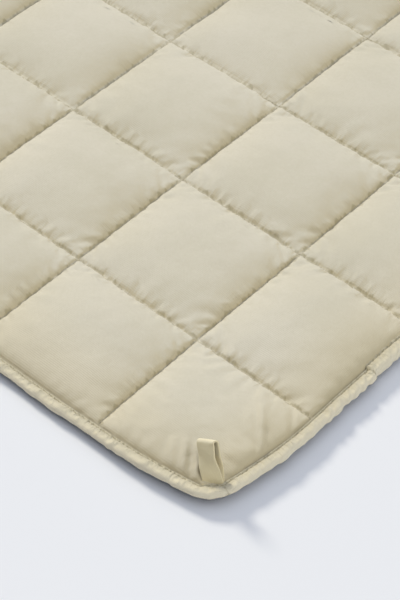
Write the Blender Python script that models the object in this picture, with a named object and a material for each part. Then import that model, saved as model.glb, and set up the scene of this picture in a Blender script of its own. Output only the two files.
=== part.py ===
"""A weighted blanket, laid out flat: one quilted body in square sewn cells, a folded binding
round its edge, and a loop of tape at each corner for tying it into a cover.

Metres, +Z up. X runs across the blanket and Y along it. The origin is on the floor under the
middle of the blanket.
"""

import math

import bmesh
import bpy
from mathutils import Vector

# Driving dimensions
PITCH = 0.100  # the side of a square cell, from seam to seam
CELLS_X, CELLS_Y = 12, 18
CROWN = 0.0100  # how far a filled cell stands above its seams
CROWN_SPREAD = 0.07  # the filling's unevenness from cell to cell, as a share of the crown
SEAM_TOP = 0.0068  # height of the upper cloth where it is sewn down
SEAM_UNDER = 0.0044  # height of the lower cloth there
TOP_INSET, UNDER_INSET = 0.15, 0.22  # where each face of a cell turns, as a share of the cell
FULLNESS = 2.6  # the exponent of a cell's rise; higher is flatter on top and steeper by the seam

CORNER_RADIUS = 0.023  # of the finished edge
# The quilting draws each side in towards a corner: how far, and along how much of the side
SHORT_DRAW, SHORT_DRAW_LENGTH = 0.0107, 0.157
LONG_DRAW, LONG_DRAW_LENGTH = 0.0077, 0.087
EDGE_WAVE = 0.0006  # the slight waviness of the sewn edge
EDGE_WAVE_LENGTH = 0.230

BINDING_WIDTH = 0.0095
BINDING_HALF_HEIGHT = 0.0028
BINDING_FOLD = 0.0022  # from the finished edge to the quilt's rim inside the fold
BINDING_PRESS = 0.0005  # how far its stitched inner lip is pressed down
BINDING_ROUND_IN, BINDING_ROUND_DOWN = 0.0016, 0.0008  # where its folded edge begins to turn
GAP = 0.0003  # left between two pieces that touch
MOUTH_GAP = 0.0006  # from the binding's inner lip to where the quilt starts to rise

LOOP_LENGTH = 0.0260  # from the binding to the fold
LOOP_WIDTH = 0.0118
LOOP_CLOTH = 0.0011
LOOP_OPEN = 0.0074  # the widest clear space between the two plies
LOOP_FOLD = 0.0022  # half the loop's thickness at its fold
LOOP_SWELL, LOOP_TAPER = 0.95, 1.10  # exponents that shape the space between the plies
LOOP_STEPS = 8  # points up each ply
FOLD_ANGLES = (60, 0, -60)  # points over the fold, in degrees
TURNED_BY = 0.625  # the share of the loop's length in which its foot's turn is complete
LOOP_LEAN = Vector((-0.46, 0.27, 0.85)).normalized()  # from the corner, inwards and up
LOOP_FOOT_SIDE = Vector((0.76, 0.65, 0)).normalized()  # along the binding
LOOP_FOOT_IN = 0.0010  # from the binding's mouth to the middle of the loop's foot
LOOP_FOOT_UP = 0.0009  # how far the quilt has risen there
LOOP_TOP_SIDE = Vector((0.89, 0.14, 0.40)).normalized()  # the fold is turned and tipped

# Worked out
BORDER = BINDING_WIDTH + MOUTH_GAP
MOUTH_X = CELLS_X * PITCH / 2 - BORDER
MOUTH_Y = CELLS_Y * PITCH / 2 - BORDER
LAST_SEAM_X, LAST_SEAM_Y = (CELLS_X / 2 - 1) * PITCH, (CELLS_Y / 2 - 1) * PITCH
EDGE_CELL = PITCH - BORDER  # a cell along the edge, from its seam to the binding's mouth
ARC = (CORNER_RADIUS - BORDER) / EDGE_CELL  # the mouth's corner radius as a share of that cell
ARC_KNOTS = (0, 0.35, 0.65, 1 - ARC, 1 - 0.70 * ARC, 1 - 0.38 * ARC)  # towards a corner
MID_KNOTS = (0, 0.5)
SEAM_MIDDLE = (SEAM_TOP + SEAM_UNDER) / 2
RIM_REACH = BORDER - BINDING_FOLD  # how far the quilt's thin rim reaches into the binding


def lines(cells, mouth):
    """The seams across one direction, with the binding's mouth as the first and last line."""
    inner = [(n - cells / 2) * PITCH for n in range(1, cells)]
    return [-mouth, *inner, mouth]


LINES_X, LINES_Y = lines(CELLS_X, MOUTH_X), lines(CELLS_Y, MOUTH_Y)


def round_share(a, b):
    """How far a point of a corner cell is drawn towards the cell's inner corner by the rounding.

    a and b run from 0 at the last seams to 1 at the square outline.
    """
    reach = max(a, b)
    ray_a, ray_b, centre = a / reach, b / reach, 1 - ARC
    if min(ray_a, ray_b) <= centre:
        return 1
    square, half = ray_a**2 + ray_b**2, centre * (ray_a + ray_b)
    arc = (half + math.sqrt(half**2 - square * (2 * centre**2 - ARC**2))) / square
    return 1 + (arc - 1) * reach**2


def pulled(place, cells, length):
    """How much of its draw a side has at a place along it: none, then all where the corner turns."""
    turn = cells * PITCH / 2 - CORNER_RADIUS
    return min(1, max(0, (abs(place) - turn + length) / length)) ** 2


def laid(x, y):
    """Where a point of the flat, square-cut quilt lies once the blanket is made up."""
    past_x = max(0, (abs(x) - LAST_SEAM_X) / EDGE_CELL)
    past_y = max(0, (abs(y) - LAST_SEAM_Y) / EDGE_CELL)
    share = round_share(past_x, past_y) if past_x > 0 and past_y > 0 else 1
    wave_x = EDGE_WAVE * math.sin(math.tau * abs(y) / EDGE_WAVE_LENGTH) * past_x**2
    wave_y = EDGE_WAVE * math.sin(math.tau * abs(x) / EDGE_WAVE_LENGTH) * past_y**2
    pull_x = LONG_DRAW * pulled(y, CELLS_Y, LONG_DRAW_LENGTH) * past_x**2
    pull_y = SHORT_DRAW * pulled(x, CELLS_X, SHORT_DRAW_LENGTH) * past_y**2
    laid_x = min(abs(x), LAST_SEAM_X) + past_x * share * EDGE_CELL + wave_x - pull_x
    laid_y = min(abs(y), LAST_SEAM_Y) + past_y * share * EDGE_CELL + wave_y - pull_y
    return math.copysign(laid_x, x), math.copysign(laid_y, y)


def knots(starts_at_corner, ends_at_corner, inner_knots):
    """Shares along one side of a cell. The side's last point is the next side's first."""
    if ends_at_corner:
        return ARC_KNOTS
    if starts_at_corner:
        return (0, *[1 - k for k in reversed(ARC_KNOTS[1:])])
    return inner_knots


def cell_loop(i, j, seam_knots):
    """A cell's outline as flat points, anticlockwise. Sides on the mouth keep the mouth's knots."""
    left, right = LINES_X[i], LINES_X[i + 1]
    low, high = LINES_Y[j], LINES_Y[j + 1]
    corners = [(left, low), (right, low), (right, high), (left, high)]
    loop = []
    for start, end in zip(corners, corners[1:] + corners[:1]):
        on_mouth = (start[0] == end[0] and abs(start[0]) == MOUTH_X) or (
            start[1] == end[1] and abs(start[1]) == MOUTH_Y
        )
        at_corner = [abs(x) == MOUTH_X and abs(y) == MOUTH_Y for x, y in (start, end)]
        shares = knots(*at_corner, MID_KNOTS) if on_mouth else seam_knots
        loop += [
            (start[0] + (end[0] - start[0]) * s, start[1] + (end[1] - start[1]) * s)
            for s in shares
        ]
    return loop


def rise(share):
    """The height of a cell's cloth across it, from 0 at a seam to 1 in the middle."""
    return 1 - abs(2 * share - 1) ** FULLNESS


def crown_of(i, j):
    """One cell's crown. The filling never lies quite evenly."""
    return CROWN * (1 + CROWN_SPREAD * math.sin(2.1 * i + 1.3 * j) * math.cos(0.8 * i - 1.7 * j))


def add_face(bm, points):
    bm.faces.new([bm.verts.new(p) for p in points])


def add_band(bm, first, second):
    """Quads between two closed loops of the same number of points."""
    for k in range(len(first)):
        n = (k + 1) % len(first)
        add_face(bm, [first[k], first[n], second[n], second[k]])


def cell_face(bm, i, j, top):
    """The upper or lower cloth of one cell: its outline, a ring where it turns, and its middle."""
    loop = cell_loop(i, j, MID_KNOTS if top else (0,))
    middle = ((LINES_X[i] + LINES_X[i + 1]) / 2, (LINES_Y[j] + LINES_Y[j + 1]) / 2)
    inset = TOP_INSET if top else UNDER_INSET
    seam_height = SEAM_TOP if top else SEAM_UNDER
    outline, ring = [], []
    for x, y in loop:
        outline.append((*laid(x, y), seam_height))
        inner = [m + (p - m) * (1 - 2 * inset) for p, m in zip((x, y), middle)]
        across = (inner[0] - LINES_X[i]) / (LINES_X[i + 1] - LINES_X[i])
        along = (inner[1] - LINES_Y[j]) / (LINES_Y[j + 1] - LINES_Y[j])
        lift = crown_of(i, j) * rise(across) * rise(along)
        ring.append((*laid(*inner), SEAM_TOP + lift if top else 0))
    add_band(bm, outline, ring)
    if not top:
        add_face(bm, ring)
        return
    peak = (*laid(*middle), SEAM_TOP + crown_of(i, j))
    for k in range(len(ring)):
        add_face(bm, [ring[k], ring[(k + 1) % len(ring)], peak])


def mouth_line():
    """The line where the quilt leaves the binding, all the way round, anticlockwise."""
    last_x, last_y = CELLS_X - 1, CELLS_Y - 1
    cells = [(i, 0, 1) for i in range(CELLS_X)]
    cells += [(last_x, j, 0) for j in range(CELLS_Y)]
    cells += [(i, last_y, 1) for i in reversed(range(CELLS_X))]
    cells += [(0, j, 0) for j in reversed(range(CELLS_Y))]
    line = []
    for i, j, axis in cells:
        edge = (MOUTH_X, MOUTH_Y)[axis]
        side = LINES_Y[0 if j == 0 else -1] if axis else LINES_X[0 if i == 0 else -1]
        found = [p for p in cell_loop(i, j, MID_KNOTS) if p[axis] == side and abs(side) == edge]
        along = 1 - axis
        forward = (side < 0) == (axis == 1)
        found.sort(key=lambda p: p[along], reverse=not forward)
        line += found[:-1]
    return [Vector((*laid(x, y), 0)) for x, y in line]


def offset(line, distance, height):
    """The line moved outwards, so that each of its stretches moves by the same distance."""
    moved = []
    for k, point in enumerate(line):
        before = (point - line[k - 1]).normalized()
        after = (line[(k + 1) % len(line)] - point).normalized()
        first, second = Vector((before.y, -before.x, 0)), Vector((after.y, -after.x, 0))
        out = (first + second) / (1 + first.dot(second))
        moved.append((point.x + out.x * distance, point.y + out.y * distance, height))
    return moved


def make_object(name, bm, material):
    """Weld the faces into one closed skin, and put it in the scene as an object."""
    bmesh.ops.remove_doubles(bm, verts=bm.verts, dist=1e-6)
    bmesh.ops.recalc_face_normals(bm, faces=bm.faces)
    mesh = bpy.data.meshes.new(name)
    bm.to_mesh(mesh)
    bm.free()
    mesh.materials.append(material)
    mesh.shade_smooth()
    mesh.set_sharp_from_angle(angle=math.radians(50))
    made = bpy.data.objects.new(name, mesh)
    bpy.context.collection.objects.link(made)
    return made


def cotton(name, colour, roughness):
    material = bpy.data.materials.new(name)
    material.use_nodes = True
    shader = material.node_tree.nodes["Principled BSDF"]
    shader.inputs["Base Color"].default_value = (*colour, 1)
    shader.inputs["Roughness"].default_value = roughness
    shader.inputs["Metallic"].default_value = 0
    return material


def make_quilt():
    """The filled body: both faces of every cell, and the thin sewn rim inside the binding."""
    bm = bmesh.new()
    for i in range(CELLS_X):
        for j in range(CELLS_Y):
            cell_face(bm, i, j, top=True)
            cell_face(bm, i, j, top=False)
    mouth = mouth_line()
    outline = [
        offset(mouth, 0, SEAM_TOP),
        offset(mouth, RIM_REACH, SEAM_TOP),
        offset(mouth, RIM_REACH, SEAM_UNDER),
        offset(mouth, 0, SEAM_UNDER),
    ]
    for first, second in zip(outline, outline[1:]):
        add_band(bm, first, second)
    return make_object("quilt", bm, cotton("quilted cotton", (0.66, 0.60, 0.46), 0.85))


def make_binding():
    """The folded strip: its outer face, round over the edge, and the channel that holds the rim."""
    channel = (SEAM_TOP - SEAM_UNDER) / 2 + GAP
    lip, edge, half = MOUTH_GAP, BORDER, BINDING_HALF_HEIGHT
    upper = [
        (lip, channel),
        (lip, half - BINDING_PRESS),
        ((lip + edge) / 2, half),
        (edge - BINDING_ROUND_IN, half - BINDING_ROUND_DOWN),
    ]
    section = upper + [(edge, 0)] + [(d, -h) for d, h in reversed(upper)]
    section += [(RIM_REACH + GAP, -channel), (RIM_REACH + GAP, channel)]
    mouth = mouth_line()
    rings = [offset(mouth, distance, SEAM_MIDDLE + height) for distance, height in section]
    bm = bmesh.new()
    for first, second in zip(rings, rings[1:] + rings[:1]):
        add_band(bm, first, second)
    return make_object("edge_binding", bm, cotton("binding cotton", (0.68, 0.62, 0.48), 0.8))


def ply_spread(share):
    """Half the clear space between the loop's plies, from its foot to its fold."""
    fold = (LOOP_FOLD - LOOP_CLOTH) * share
    bulge = (LOOP_OPEN - fold) / 2
    return fold + bulge * math.sin(math.pi * share**LOOP_SWELL) ** LOOP_TAPER


def loop_outline(start, thickness):
    """One face of the loop's cloth, from the foot over the fold and back, as (along, across)."""
    ply = LOOP_LENGTH - LOOP_FOLD
    up = [(start, thickness)]
    for k in range(1, LOOP_STEPS):
        along = start + (ply - start) * k / (LOOP_STEPS - 1)
        up.append((along, ply_spread(along / ply) + thickness))
    radius = up[-1][1]
    turns = [math.radians(angle) for angle in FOLD_ANGLES]
    fold = [(ply + radius * math.cos(turn), radius * math.sin(turn)) for turn in turns]
    return up + fold + [(along, -across) for along, across in reversed(up)]


def make_loop(name, mirror_x, mirror_y):
    """A folded tape that stands out of the corner, open between its plies."""
    inwards = Vector((-1, 1, 0)).normalized() * LOOP_FOOT_IN
    corner = Vector((*laid(MOUTH_X, -MOUTH_Y), SEAM_TOP + LOOP_FOOT_UP + GAP)) + inwards
    outer = loop_outline(0, LOOP_CLOTH)
    inner = loop_outline(LOOP_CLOTH * 2, 0)

    def placed(along, across, end):
        share = min(1, along / LOOP_LENGTH / TURNED_BY)
        side = LOOP_FOOT_SIDE.lerp(LOOP_TOP_SIDE, share)
        side = (side - LOOP_LEAN * side.dot(LOOP_LEAN) * share).normalized()
        out = side.cross(LOOP_LEAN).normalized()
        foot = Vector((0, 0, LOOP_CLOTH * abs(out.z)))
        p = corner + foot + LOOP_LEAN * along + out * across + side * end * LOOP_WIDTH / 2
        return Vector((p.x * mirror_x, p.y * mirror_y, p.z))

    ends = {}
    for end in (-1, 1):
        ends[end] = (
            [placed(*p, end) for p in outer],
            [placed(*p, end) for p in inner],
        )
    bm = bmesh.new()
    for face in (0, 1):
        left, right = ends[-1][face], ends[1][face]
        for k in range(len(left) - 1):
            add_face(bm, [left[k], left[k + 1], right[k + 1], right[k]])
    for end in (-1, 1):
        out_line, in_line = ends[end]
        for k in range(len(out_line) - 1):
            add_face(bm, [out_line[k], out_line[k + 1], in_line[k + 1], in_line[k]])
        add_face(bm, [out_line[0], in_line[0], out_line[-1]])
    add_face(bm, [ends[-1][0][0], ends[1][0][0], ends[1][0][-1], ends[-1][0][-1]])
    return make_object(name, bm, cotton(f"{name} tape", (0.55, 0.49, 0.36), 0.85))


for old in list(bpy.data.objects):
    bpy.data.objects.remove(old)

make_quilt()
make_binding()
for number, (flip_x, flip_y) in enumerate([(1, 1), (-1, 1), (-1, -1), (1, -1)], start=1):
    make_loop(f"corner_loop_{number}", flip_x, flip_y)
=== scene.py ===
# %% [markdown]
# # A weighted blanket, quilted in squares
#
# A weighted blanket is a flat bag of cotton, sewn into square cells, with glass beads and a
# little wadding in each cell. A folded strip binds its edge, and a loop of tape stands at each
# corner for tying it into a cover. The CAD model fixes its sizes. This lesson dresses that
# model: cloth that puckers at its seams, a rolled binding, thread, and tape.

# %% Load the frame
import math

import bmesh
import bpy
import numpy as np
from mathutils import Matrix, Vector


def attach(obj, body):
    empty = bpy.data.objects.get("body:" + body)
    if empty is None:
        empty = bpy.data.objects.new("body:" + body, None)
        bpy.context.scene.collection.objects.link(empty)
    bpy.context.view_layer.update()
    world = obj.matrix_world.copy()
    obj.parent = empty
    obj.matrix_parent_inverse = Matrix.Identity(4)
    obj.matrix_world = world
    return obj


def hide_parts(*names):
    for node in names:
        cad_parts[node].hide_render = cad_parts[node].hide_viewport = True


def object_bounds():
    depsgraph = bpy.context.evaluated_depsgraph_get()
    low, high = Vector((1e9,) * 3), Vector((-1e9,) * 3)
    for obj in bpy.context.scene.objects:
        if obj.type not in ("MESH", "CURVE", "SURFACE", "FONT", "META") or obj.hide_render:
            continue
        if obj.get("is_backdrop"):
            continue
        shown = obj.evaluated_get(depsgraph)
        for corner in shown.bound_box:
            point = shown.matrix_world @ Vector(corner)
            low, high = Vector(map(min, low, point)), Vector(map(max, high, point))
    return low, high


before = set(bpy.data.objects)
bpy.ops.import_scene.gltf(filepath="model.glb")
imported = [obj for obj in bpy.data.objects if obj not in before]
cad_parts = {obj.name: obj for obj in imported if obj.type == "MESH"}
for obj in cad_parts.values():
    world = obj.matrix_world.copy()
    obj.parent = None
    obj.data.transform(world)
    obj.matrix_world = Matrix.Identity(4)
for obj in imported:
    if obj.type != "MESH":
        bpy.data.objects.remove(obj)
cad_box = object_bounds()
print("CAD nodes:", ", ".join(sorted(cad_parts)))

# %% [markdown]
# ## The blanket's own sizes
#
# Everything is in metres. X runs across the blanket, Y along it, and Z up from the floor. The
# sizes are the CAD model's own, so that each visible piece lies on its solid. A cell is 100 mm
# square; the cells along the edge lose the width of the binding.

# %% Sizes
MM = 0.001
PITCH = 0.100
CELLS_X, CELLS_Y = 12, 18
SEAM_TOP, SEAM_UNDER = 0.0068, 0.0044
SEAM_MIDDLE = (SEAM_TOP + SEAM_UNDER) / 2
CROWN = 0.0100
BORDER = 0.0101
RIM_REACH = 0.0045
MOUTH_X, MOUTH_Y = CELLS_X * PITCH / 2 - BORDER, CELLS_Y * PITCH / 2 - BORDER
LAST_SEAM_X, LAST_SEAM_Y = (CELLS_X / 2 - 1) * PITCH, (CELLS_Y / 2 - 1) * PITCH
EDGE_CELL = PITCH - BORDER
CORNER_RADIUS = 0.023
ARC = (CORNER_RADIUS - BORDER) / EDGE_CELL
SHORT_DRAW, SHORT_DRAW_LENGTH = 0.0107, 0.157
LONG_DRAW, LONG_DRAW_LENGTH = 0.0077, 0.087
EDGE_WAVE, EDGE_WAVE_LENGTH = 0.0006, 0.230
SHORT_OUT, LONG_OUT = 0.0028, 0.0008  # how far the filled cloth bulges into the binding's width
# How far a side settles in past its swell by the corner, and where it does, from the corner
SHORT_HOLLOW, SHORT_FROM, SHORT_TO = 0.0018, 0.05, 0.12
LONG_HOLLOW, LONG_FROM, LONG_TO = 0.0016, 0.07, 0.13
print(f"the sewn edge of the cloth lies {MOUTH_X * 2:.3f} by {MOUTH_Y * 2:.3f} m apart")

# %% [markdown]
# ## From the flat cut to the finished outline
#
# The cloth is cut and quilted square. The sewing then draws its corners in. A side swells out
# most just past a corner, and settles a little further in along the rest of its length. One
# function says where a point of the flat cloth lies afterwards. Every piece below is first
# laid out on the flat grid and then put through it, which keeps them all together.

# %% The drawn-in outline
def ease(share):
    """A smooth rise from 0 to 1."""
    return share * share * (3 - 2 * share)


def rounding(a, b):
    """How far the rounded corner draws a point in. a and b run from the last seams to the edge."""
    reach = np.maximum(np.maximum(a, b), 1e-9)
    ray_a, ray_b, centre = a / reach, b / reach, 1 - ARC
    square = np.maximum(ray_a**2 + ray_b**2, 1e-9)
    half = centre * (ray_a + ray_b)
    under_root = np.maximum(half**2 - square * (2 * centre**2 - ARC**2), 0)
    arc = (half + np.sqrt(under_root)) / square
    return np.where(np.minimum(ray_a, ray_b) > centre, 1 + (arc - 1) * reach**2, 1)


def drawn(place, cells, length):
    """How much of its draw a side has at a place along it."""
    turn = cells * PITCH / 2 - CORNER_RADIUS
    return np.clip((np.abs(place) - turn + length) / length, 0, 1) ** 2


def hollow(place, cells, depth, begin, complete):
    """How far a side has settled in past its swell, at a place along it."""
    from_corner = cells * PITCH / 2 - np.abs(place)
    return depth * ease(np.clip((from_corner - begin) / (complete - begin), 0, 1))


def laid(x, y):
    """Where points of the flat cloth lie once the blanket is made up."""
    x, y = np.asarray(x, float), np.asarray(y, float)
    past_x = np.maximum(0, (np.abs(x) - LAST_SEAM_X) / EDGE_CELL)
    past_y = np.maximum(0, (np.abs(y) - LAST_SEAM_Y) / EDGE_CELL)
    share = rounding(past_x, past_y)
    wave_x = EDGE_WAVE * np.sin(math.tau * np.abs(y) / EDGE_WAVE_LENGTH)
    wave_y = EDGE_WAVE * np.sin(math.tau * np.abs(x) / EDGE_WAVE_LENGTH)
    pull_x = LONG_DRAW * drawn(y, CELLS_Y, LONG_DRAW_LENGTH)
    pull_y = SHORT_DRAW * drawn(x, CELLS_X, SHORT_DRAW_LENGTH)
    pull_x = pull_x + hollow(y, CELLS_Y, LONG_HOLLOW, LONG_FROM, LONG_TO)
    pull_y = pull_y + hollow(x, CELLS_X, SHORT_HOLLOW, SHORT_FROM, SHORT_TO)
    out_x = np.minimum(np.abs(x), LAST_SEAM_X) + past_x * share * EDGE_CELL
    out_y = np.minimum(np.abs(y), LAST_SEAM_Y) + past_y * share * EDGE_CELL
    out_x += (wave_x - pull_x + LONG_OUT) * past_x**2
    out_y += (wave_y - pull_y + SHORT_OUT) * past_y**2
    return np.copysign(out_x, x), np.copysign(out_y, y)


corner_x, corner_y = laid(MOUTH_X, -MOUTH_Y)
print(f"the mouth's corner lies at {corner_x:.4f}, {corner_y:.4f}")

# %% [markdown]
# ## Small helpers
#
# Cloth is never regular, so several pieces need the same thing: a smooth random surface that
# turns about once in a given length. It is seeded, so that the blanket comes out the same each
# time. A second function makes every mesh, and a third leaves notes on one for its material.

# %% Smooth random surfaces, and meshes
def random_surface(x, y, spacing, seed):
    """From -1 to 1 over the plane, turning about once in each spacing."""
    values = np.random.default_rng(seed).uniform(-1, 1, (61, 67))
    u, v = np.asarray(x) / spacing + 1000, np.asarray(y) / spacing + 1000
    i, j = np.floor(u).astype(int), np.floor(v).astype(int)
    s, t = ease(u - i), ease(v - j)
    near = values[i % 61, j % 67] * (1 - s) + values[(i + 1) % 61, j % 67] * s
    far = values[i % 61, (j + 1) % 67] * (1 - s) + values[(i + 1) % 61, (j + 1) % 67] * s
    return near * (1 - t) + far * t


def make_piece(name, points, faces):
    """A smooth mesh object, with its faces turned outwards."""
    mesh = bpy.data.meshes.new(name)
    mesh.from_pydata(np.asarray(points, float).reshape(-1, 3).tolist(), [], faces)
    bm = bmesh.new()
    bm.from_mesh(mesh)
    bmesh.ops.recalc_face_normals(bm, faces=bm.faces)
    bm.to_mesh(mesh)
    bm.free()
    mesh.shade_smooth()
    made = bpy.data.objects.new(name, mesh)
    bpy.context.collection.objects.link(made)
    triangles = sum(len(p.vertices) - 2 for p in mesh.polygons)
    print(f"{name}: {len(mesh.vertices)} points, {triangles} triangles")
    return made


def keep_vectors(piece, name, vectors):
    """Stores a vector at each point of a piece, for its material to read."""
    layer = piece.data.attributes.new(name, "FLOAT_VECTOR", "POINT")
    layer.data.foreach_set("vector", np.asarray(vectors, np.float32).ravel())


# %% [markdown]
# ## The filled cells, by cloth simulation
#
# A filled cell is two squares of cloth, sewn together along four sides and pushed apart. The
# thread draws the cloth up as it is sewn, so there is more cloth beside a seam than there is
# seam, and it gathers into short puckers. They could be sculpted or drawn as bump, but cloth finds
# those folds by itself. So a small sheet of cells is pinned along its seams, grown
# most beside them, and blown up with pressure. The sheet is ten times life size,
# because Blender's cloth works best on things about a metre across.

# %% Blow up a small sheet of cells
SHEET_CELLS = 2
SHEET_STEPS = 64  # squares of cloth across a cell
SIM_FRAMES = 40
GATHER_REACH = 0.05  # how far from a seam the extra cloth fades, as a share of a cell
GATHER = 0.14  # extra cloth at a seam
EASE = 0.015  # extra cloth in the middle of a cell


def from_seam(places):
    """How far a place is from the nearest seam, as a share of a cell."""
    return np.abs(places - np.round(places))


def soft_noise(shape, size, seed):
    """Random heights, blurred so that the first folds are a few steps wide."""
    noise = np.random.default_rng(seed).normal(0, size, shape)
    for _ in range(3):
        wide = np.pad(noise, 1, mode="edge")
        rows, columns = shape
        shifts = [(a, b) for a in range(3) for b in range(3)]
        noise = 1.6 * sum(wide[a : a + rows, b : b + columns] for a, b in shifts) / 9
    return noise


def blown_sheet(cells, steps, frames, seed):
    """The sheet's points as an array, with one unit to a cell."""
    count = cells * steps + 1
    places = np.linspace(0, cells, count)
    x, y = np.meshgrid(places, places, indexing="ij")
    to_seam = np.minimum(from_seam(x), from_seam(y))
    on_seam = to_seam < 1e-6
    z = np.where(on_seam, 0, soft_noise(x.shape, 0.004, seed))
    index = np.arange(count * count).reshape(count, count)
    quads = np.stack([index[:-1, :-1], index[1:, :-1], index[1:, 1:], index[:-1, 1:]], -1)
    mesh = bpy.data.meshes.new("sheet of cells")
    points = np.stack([x, y, z], -1).reshape(-1, 3)
    mesh.from_pydata(points.tolist(), [], quads.reshape(-1, 4).tolist())
    sheet = bpy.data.objects.new("sheet of cells", mesh)
    bpy.context.collection.objects.link(sheet)
    seams = sheet.vertex_groups.new(name="seams")
    seams.add(np.flatnonzero(on_seam.ravel()).tolist(), 1.0, "REPLACE")
    extra = sheet.vertex_groups.new(name="extra cloth")
    share = np.round(20 * np.exp(-to_seam.ravel() / GATHER_REACH)).astype(int)
    for level in range(1, 21):
        extra.add(np.flatnonzero(share == level).tolist(), level / 20, "REPLACE")
    modifier = sheet.modifiers.new("cloth", "CLOTH")
    cloth = modifier.settings
    cloth.quality = 5
    cloth.mass = 0.05
    cloth.tension_stiffness = cloth.compression_stiffness = 40
    cloth.shear_stiffness = 12
    cloth.bending_stiffness = 8
    cloth.tension_damping = cloth.compression_damping = cloth.shear_damping = 5
    cloth.bending_damping = 0.5
    cloth.air_damping = 1
    cloth.use_pressure = True
    cloth.uniform_pressure_force = 10
    cloth.vertex_group_mass = "seams"
    cloth.vertex_group_shrink = "extra cloth"
    cloth.shrink_min, cloth.shrink_max = -EASE, -GATHER
    cloth.effector_weights.gravity = 0
    modifier.collision_settings.use_collision = False
    modifier.collision_settings.use_self_collision = False
    modifier.point_cache.frame_start = 1
    modifier.point_cache.frame_end = frames
    for step in range(1, frames + 1):
        bpy.context.scene.frame_set(step)
    done = sheet.evaluated_get(bpy.context.evaluated_depsgraph_get()).to_mesh()
    found = np.empty(len(done.vertices) * 3, np.float32)
    done.vertices.foreach_get("co", found)
    bpy.data.objects.remove(sheet)
    bpy.context.scene.frame_set(1)
    return found.reshape(count, count, 3).astype(float)


sheet = blown_sheet(SHEET_CELLS, SHEET_STEPS, SIM_FRAMES, seed=5)
print(f"the cells rise {sheet[..., 2].max() * PITCH / MM:.1f} mm")

# %% [markdown]
# ## A set of cells to quilt with
#
# A cell's cloth is kept as the way each of its points has moved. Turned and mirrored, each one
# gives eight different cells, and since they are all pinned along straight seams, any two of
# them fit side by side. The pressure gives a balloon, but beads and wadding settle flat, so
# the average height of all the cells is taken out and the real, flatter profile put in.
# What is left of the simulation is what it is good at: the puckers.
#
# The thread also pulls a narrow groove along each seam. The grid is drawn closer by the
# seams, to have points for it.

# %% Cut the sheet into cells
UNITS = 64  # steps of the quilt's grid across one cell
CLOSER = 0.38  # how much closer the grid is at a seam, as a share
FULLNESS = 2.7  # the exponent of a cell's rise; higher is flatter on top
GROOVE, GROOVE_WIDTH = 0.0018, 0.0014  # how deep the thread's groove is, and how wide its side
PUCKER = 1.15  # how much of the simulated puckers is kept
AT_CROSSING, CROSSING_REACH = 0.2, 0.28  # and at the crossings, where they would be largest


def grid_share(steps):
    """Where a step of the quilt's grid lies, in cells. The steps are smaller by the seams."""
    steps = np.asarray(steps, float) / UNITS
    return steps - CLOSER * np.sin(math.tau * steps) / math.tau


def turned(cloth, way):
    """One of the eight ways to lay a square."""
    if way & 1:
        cloth = cloth[::-1] * (-1, 1, 1)
    if way & 2:
        cloth = cloth[:, ::-1] * (1, -1, 1)
    if way & 4:
        cloth = cloth.transpose(1, 0, 2)[..., [1, 0, 2]]
    return cloth


def resampled(cloth, shares):
    """The cloth at other shares of the way across, on smooth curves through its rows."""
    for axis in (0, 1):
        rows = np.moveaxis(cloth, axis, 0)
        last = len(rows) - 1
        wide = np.concatenate([[2 * rows[0] - rows[1]], rows, [2 * rows[-1] - rows[-2]]])
        first = np.minimum(np.floor(shares * last).astype(int), last - 1)
        t = (shares * last - first).reshape(-1, *[1] * (rows.ndim - 1))
        a, b, c, d = (wide[first + k] for k in range(4))
        made = b + 0.5 * t * (c - a + t * (2 * a - 5 * b + 4 * c - d + t * (3 * (b - c) + d - a)))
        cloth = np.moveaxis(made, 0, axis)
    return cloth


def settled(across, along):
    """The real height of a cell, in metres, from its profile and the groove at its seams."""
    def rise(share):
        return 1 - np.abs(2 * share - 1) ** FULLNESS

    def by_thread(share):
        return 1 - np.exp(-np.minimum(share, 1 - share) * PITCH / GROOVE_WIDTH)

    groove = GROOVE * by_thread(across) * by_thread(along)
    return (CROWN - GROOVE) * rise(across) * rise(along) + groove


shares = np.linspace(0, 1, SHEET_STEPS + 1)
flat = np.stack(np.meshgrid(shares, shares, indexing="ij"), -1)
cells = []
for i in range(SHEET_CELLS):
    for j in range(SHEET_CELLS):
        a, b = i * SHEET_STEPS, j * SHEET_STEPS
        cell = sheet[a : a + SHEET_STEPS + 1, b : b + SHEET_STEPS + 1].copy()
        cell[..., :2] -= flat + (i, j)
        cells += [turned(cell, way) for way in range(8)]
average = np.mean([cell[..., 2] for cell in cells], 0)
to_side = np.minimum(shares, 1 - shares)
to_crossing = np.hypot(to_side[:, None], to_side[None, :])
calmer = AT_CROSSING + (1 - AT_CROSSING) * ease(np.clip(to_crossing / CROSSING_REACH, 0, 1))
grid = grid_share(np.arange(UNITS + 1))
profile = settled(grid[:, None], grid[None, :]) / PITCH
patterns = []
for cell in cells:
    cell = cell.copy()
    cell[..., 2] = (cell[..., 2] - average) * PUCKER * calmer
    cell = resampled(cell, grid)
    cell[..., 2] += profile
    patterns.append(cell)
patterns = np.array(patterns)
print(len(patterns), "different cells")

# %% [markdown]
# ## Where the cloth needs fine faces
#
# A grid fine enough for the puckers everywhere would be millions of faces. So the quilt is laid
# on a fine grid, and each part of it is covered with squares of one, two, four or eight steps:
# small along the seams, larger in the middle of a cell, and larger far from the corner that
# the camera looks at. A square that meets smaller ones takes their points into its own
# outline, which leaves no gap.

# %% Lay out the squares
BLOCK = 8
WIDE, LONG = CELLS_X * UNITS, CELLS_Y * UNITS
# Steps to a square, along a seam and in a cell's middle
CORNER, CLOSE, NEXT, REST = (1, 1), (1, 2), (2, 4), (4, 8)


def cell_detail(i, j):
    """How finely a cell is drawn."""
    away = (CELLS_X - 1 - i) + j
    if away == 0:
        return CORNER
    if away <= 4 and j <= 4:
        return CLOSE
    return NEXT if away <= 6 else REST


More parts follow.
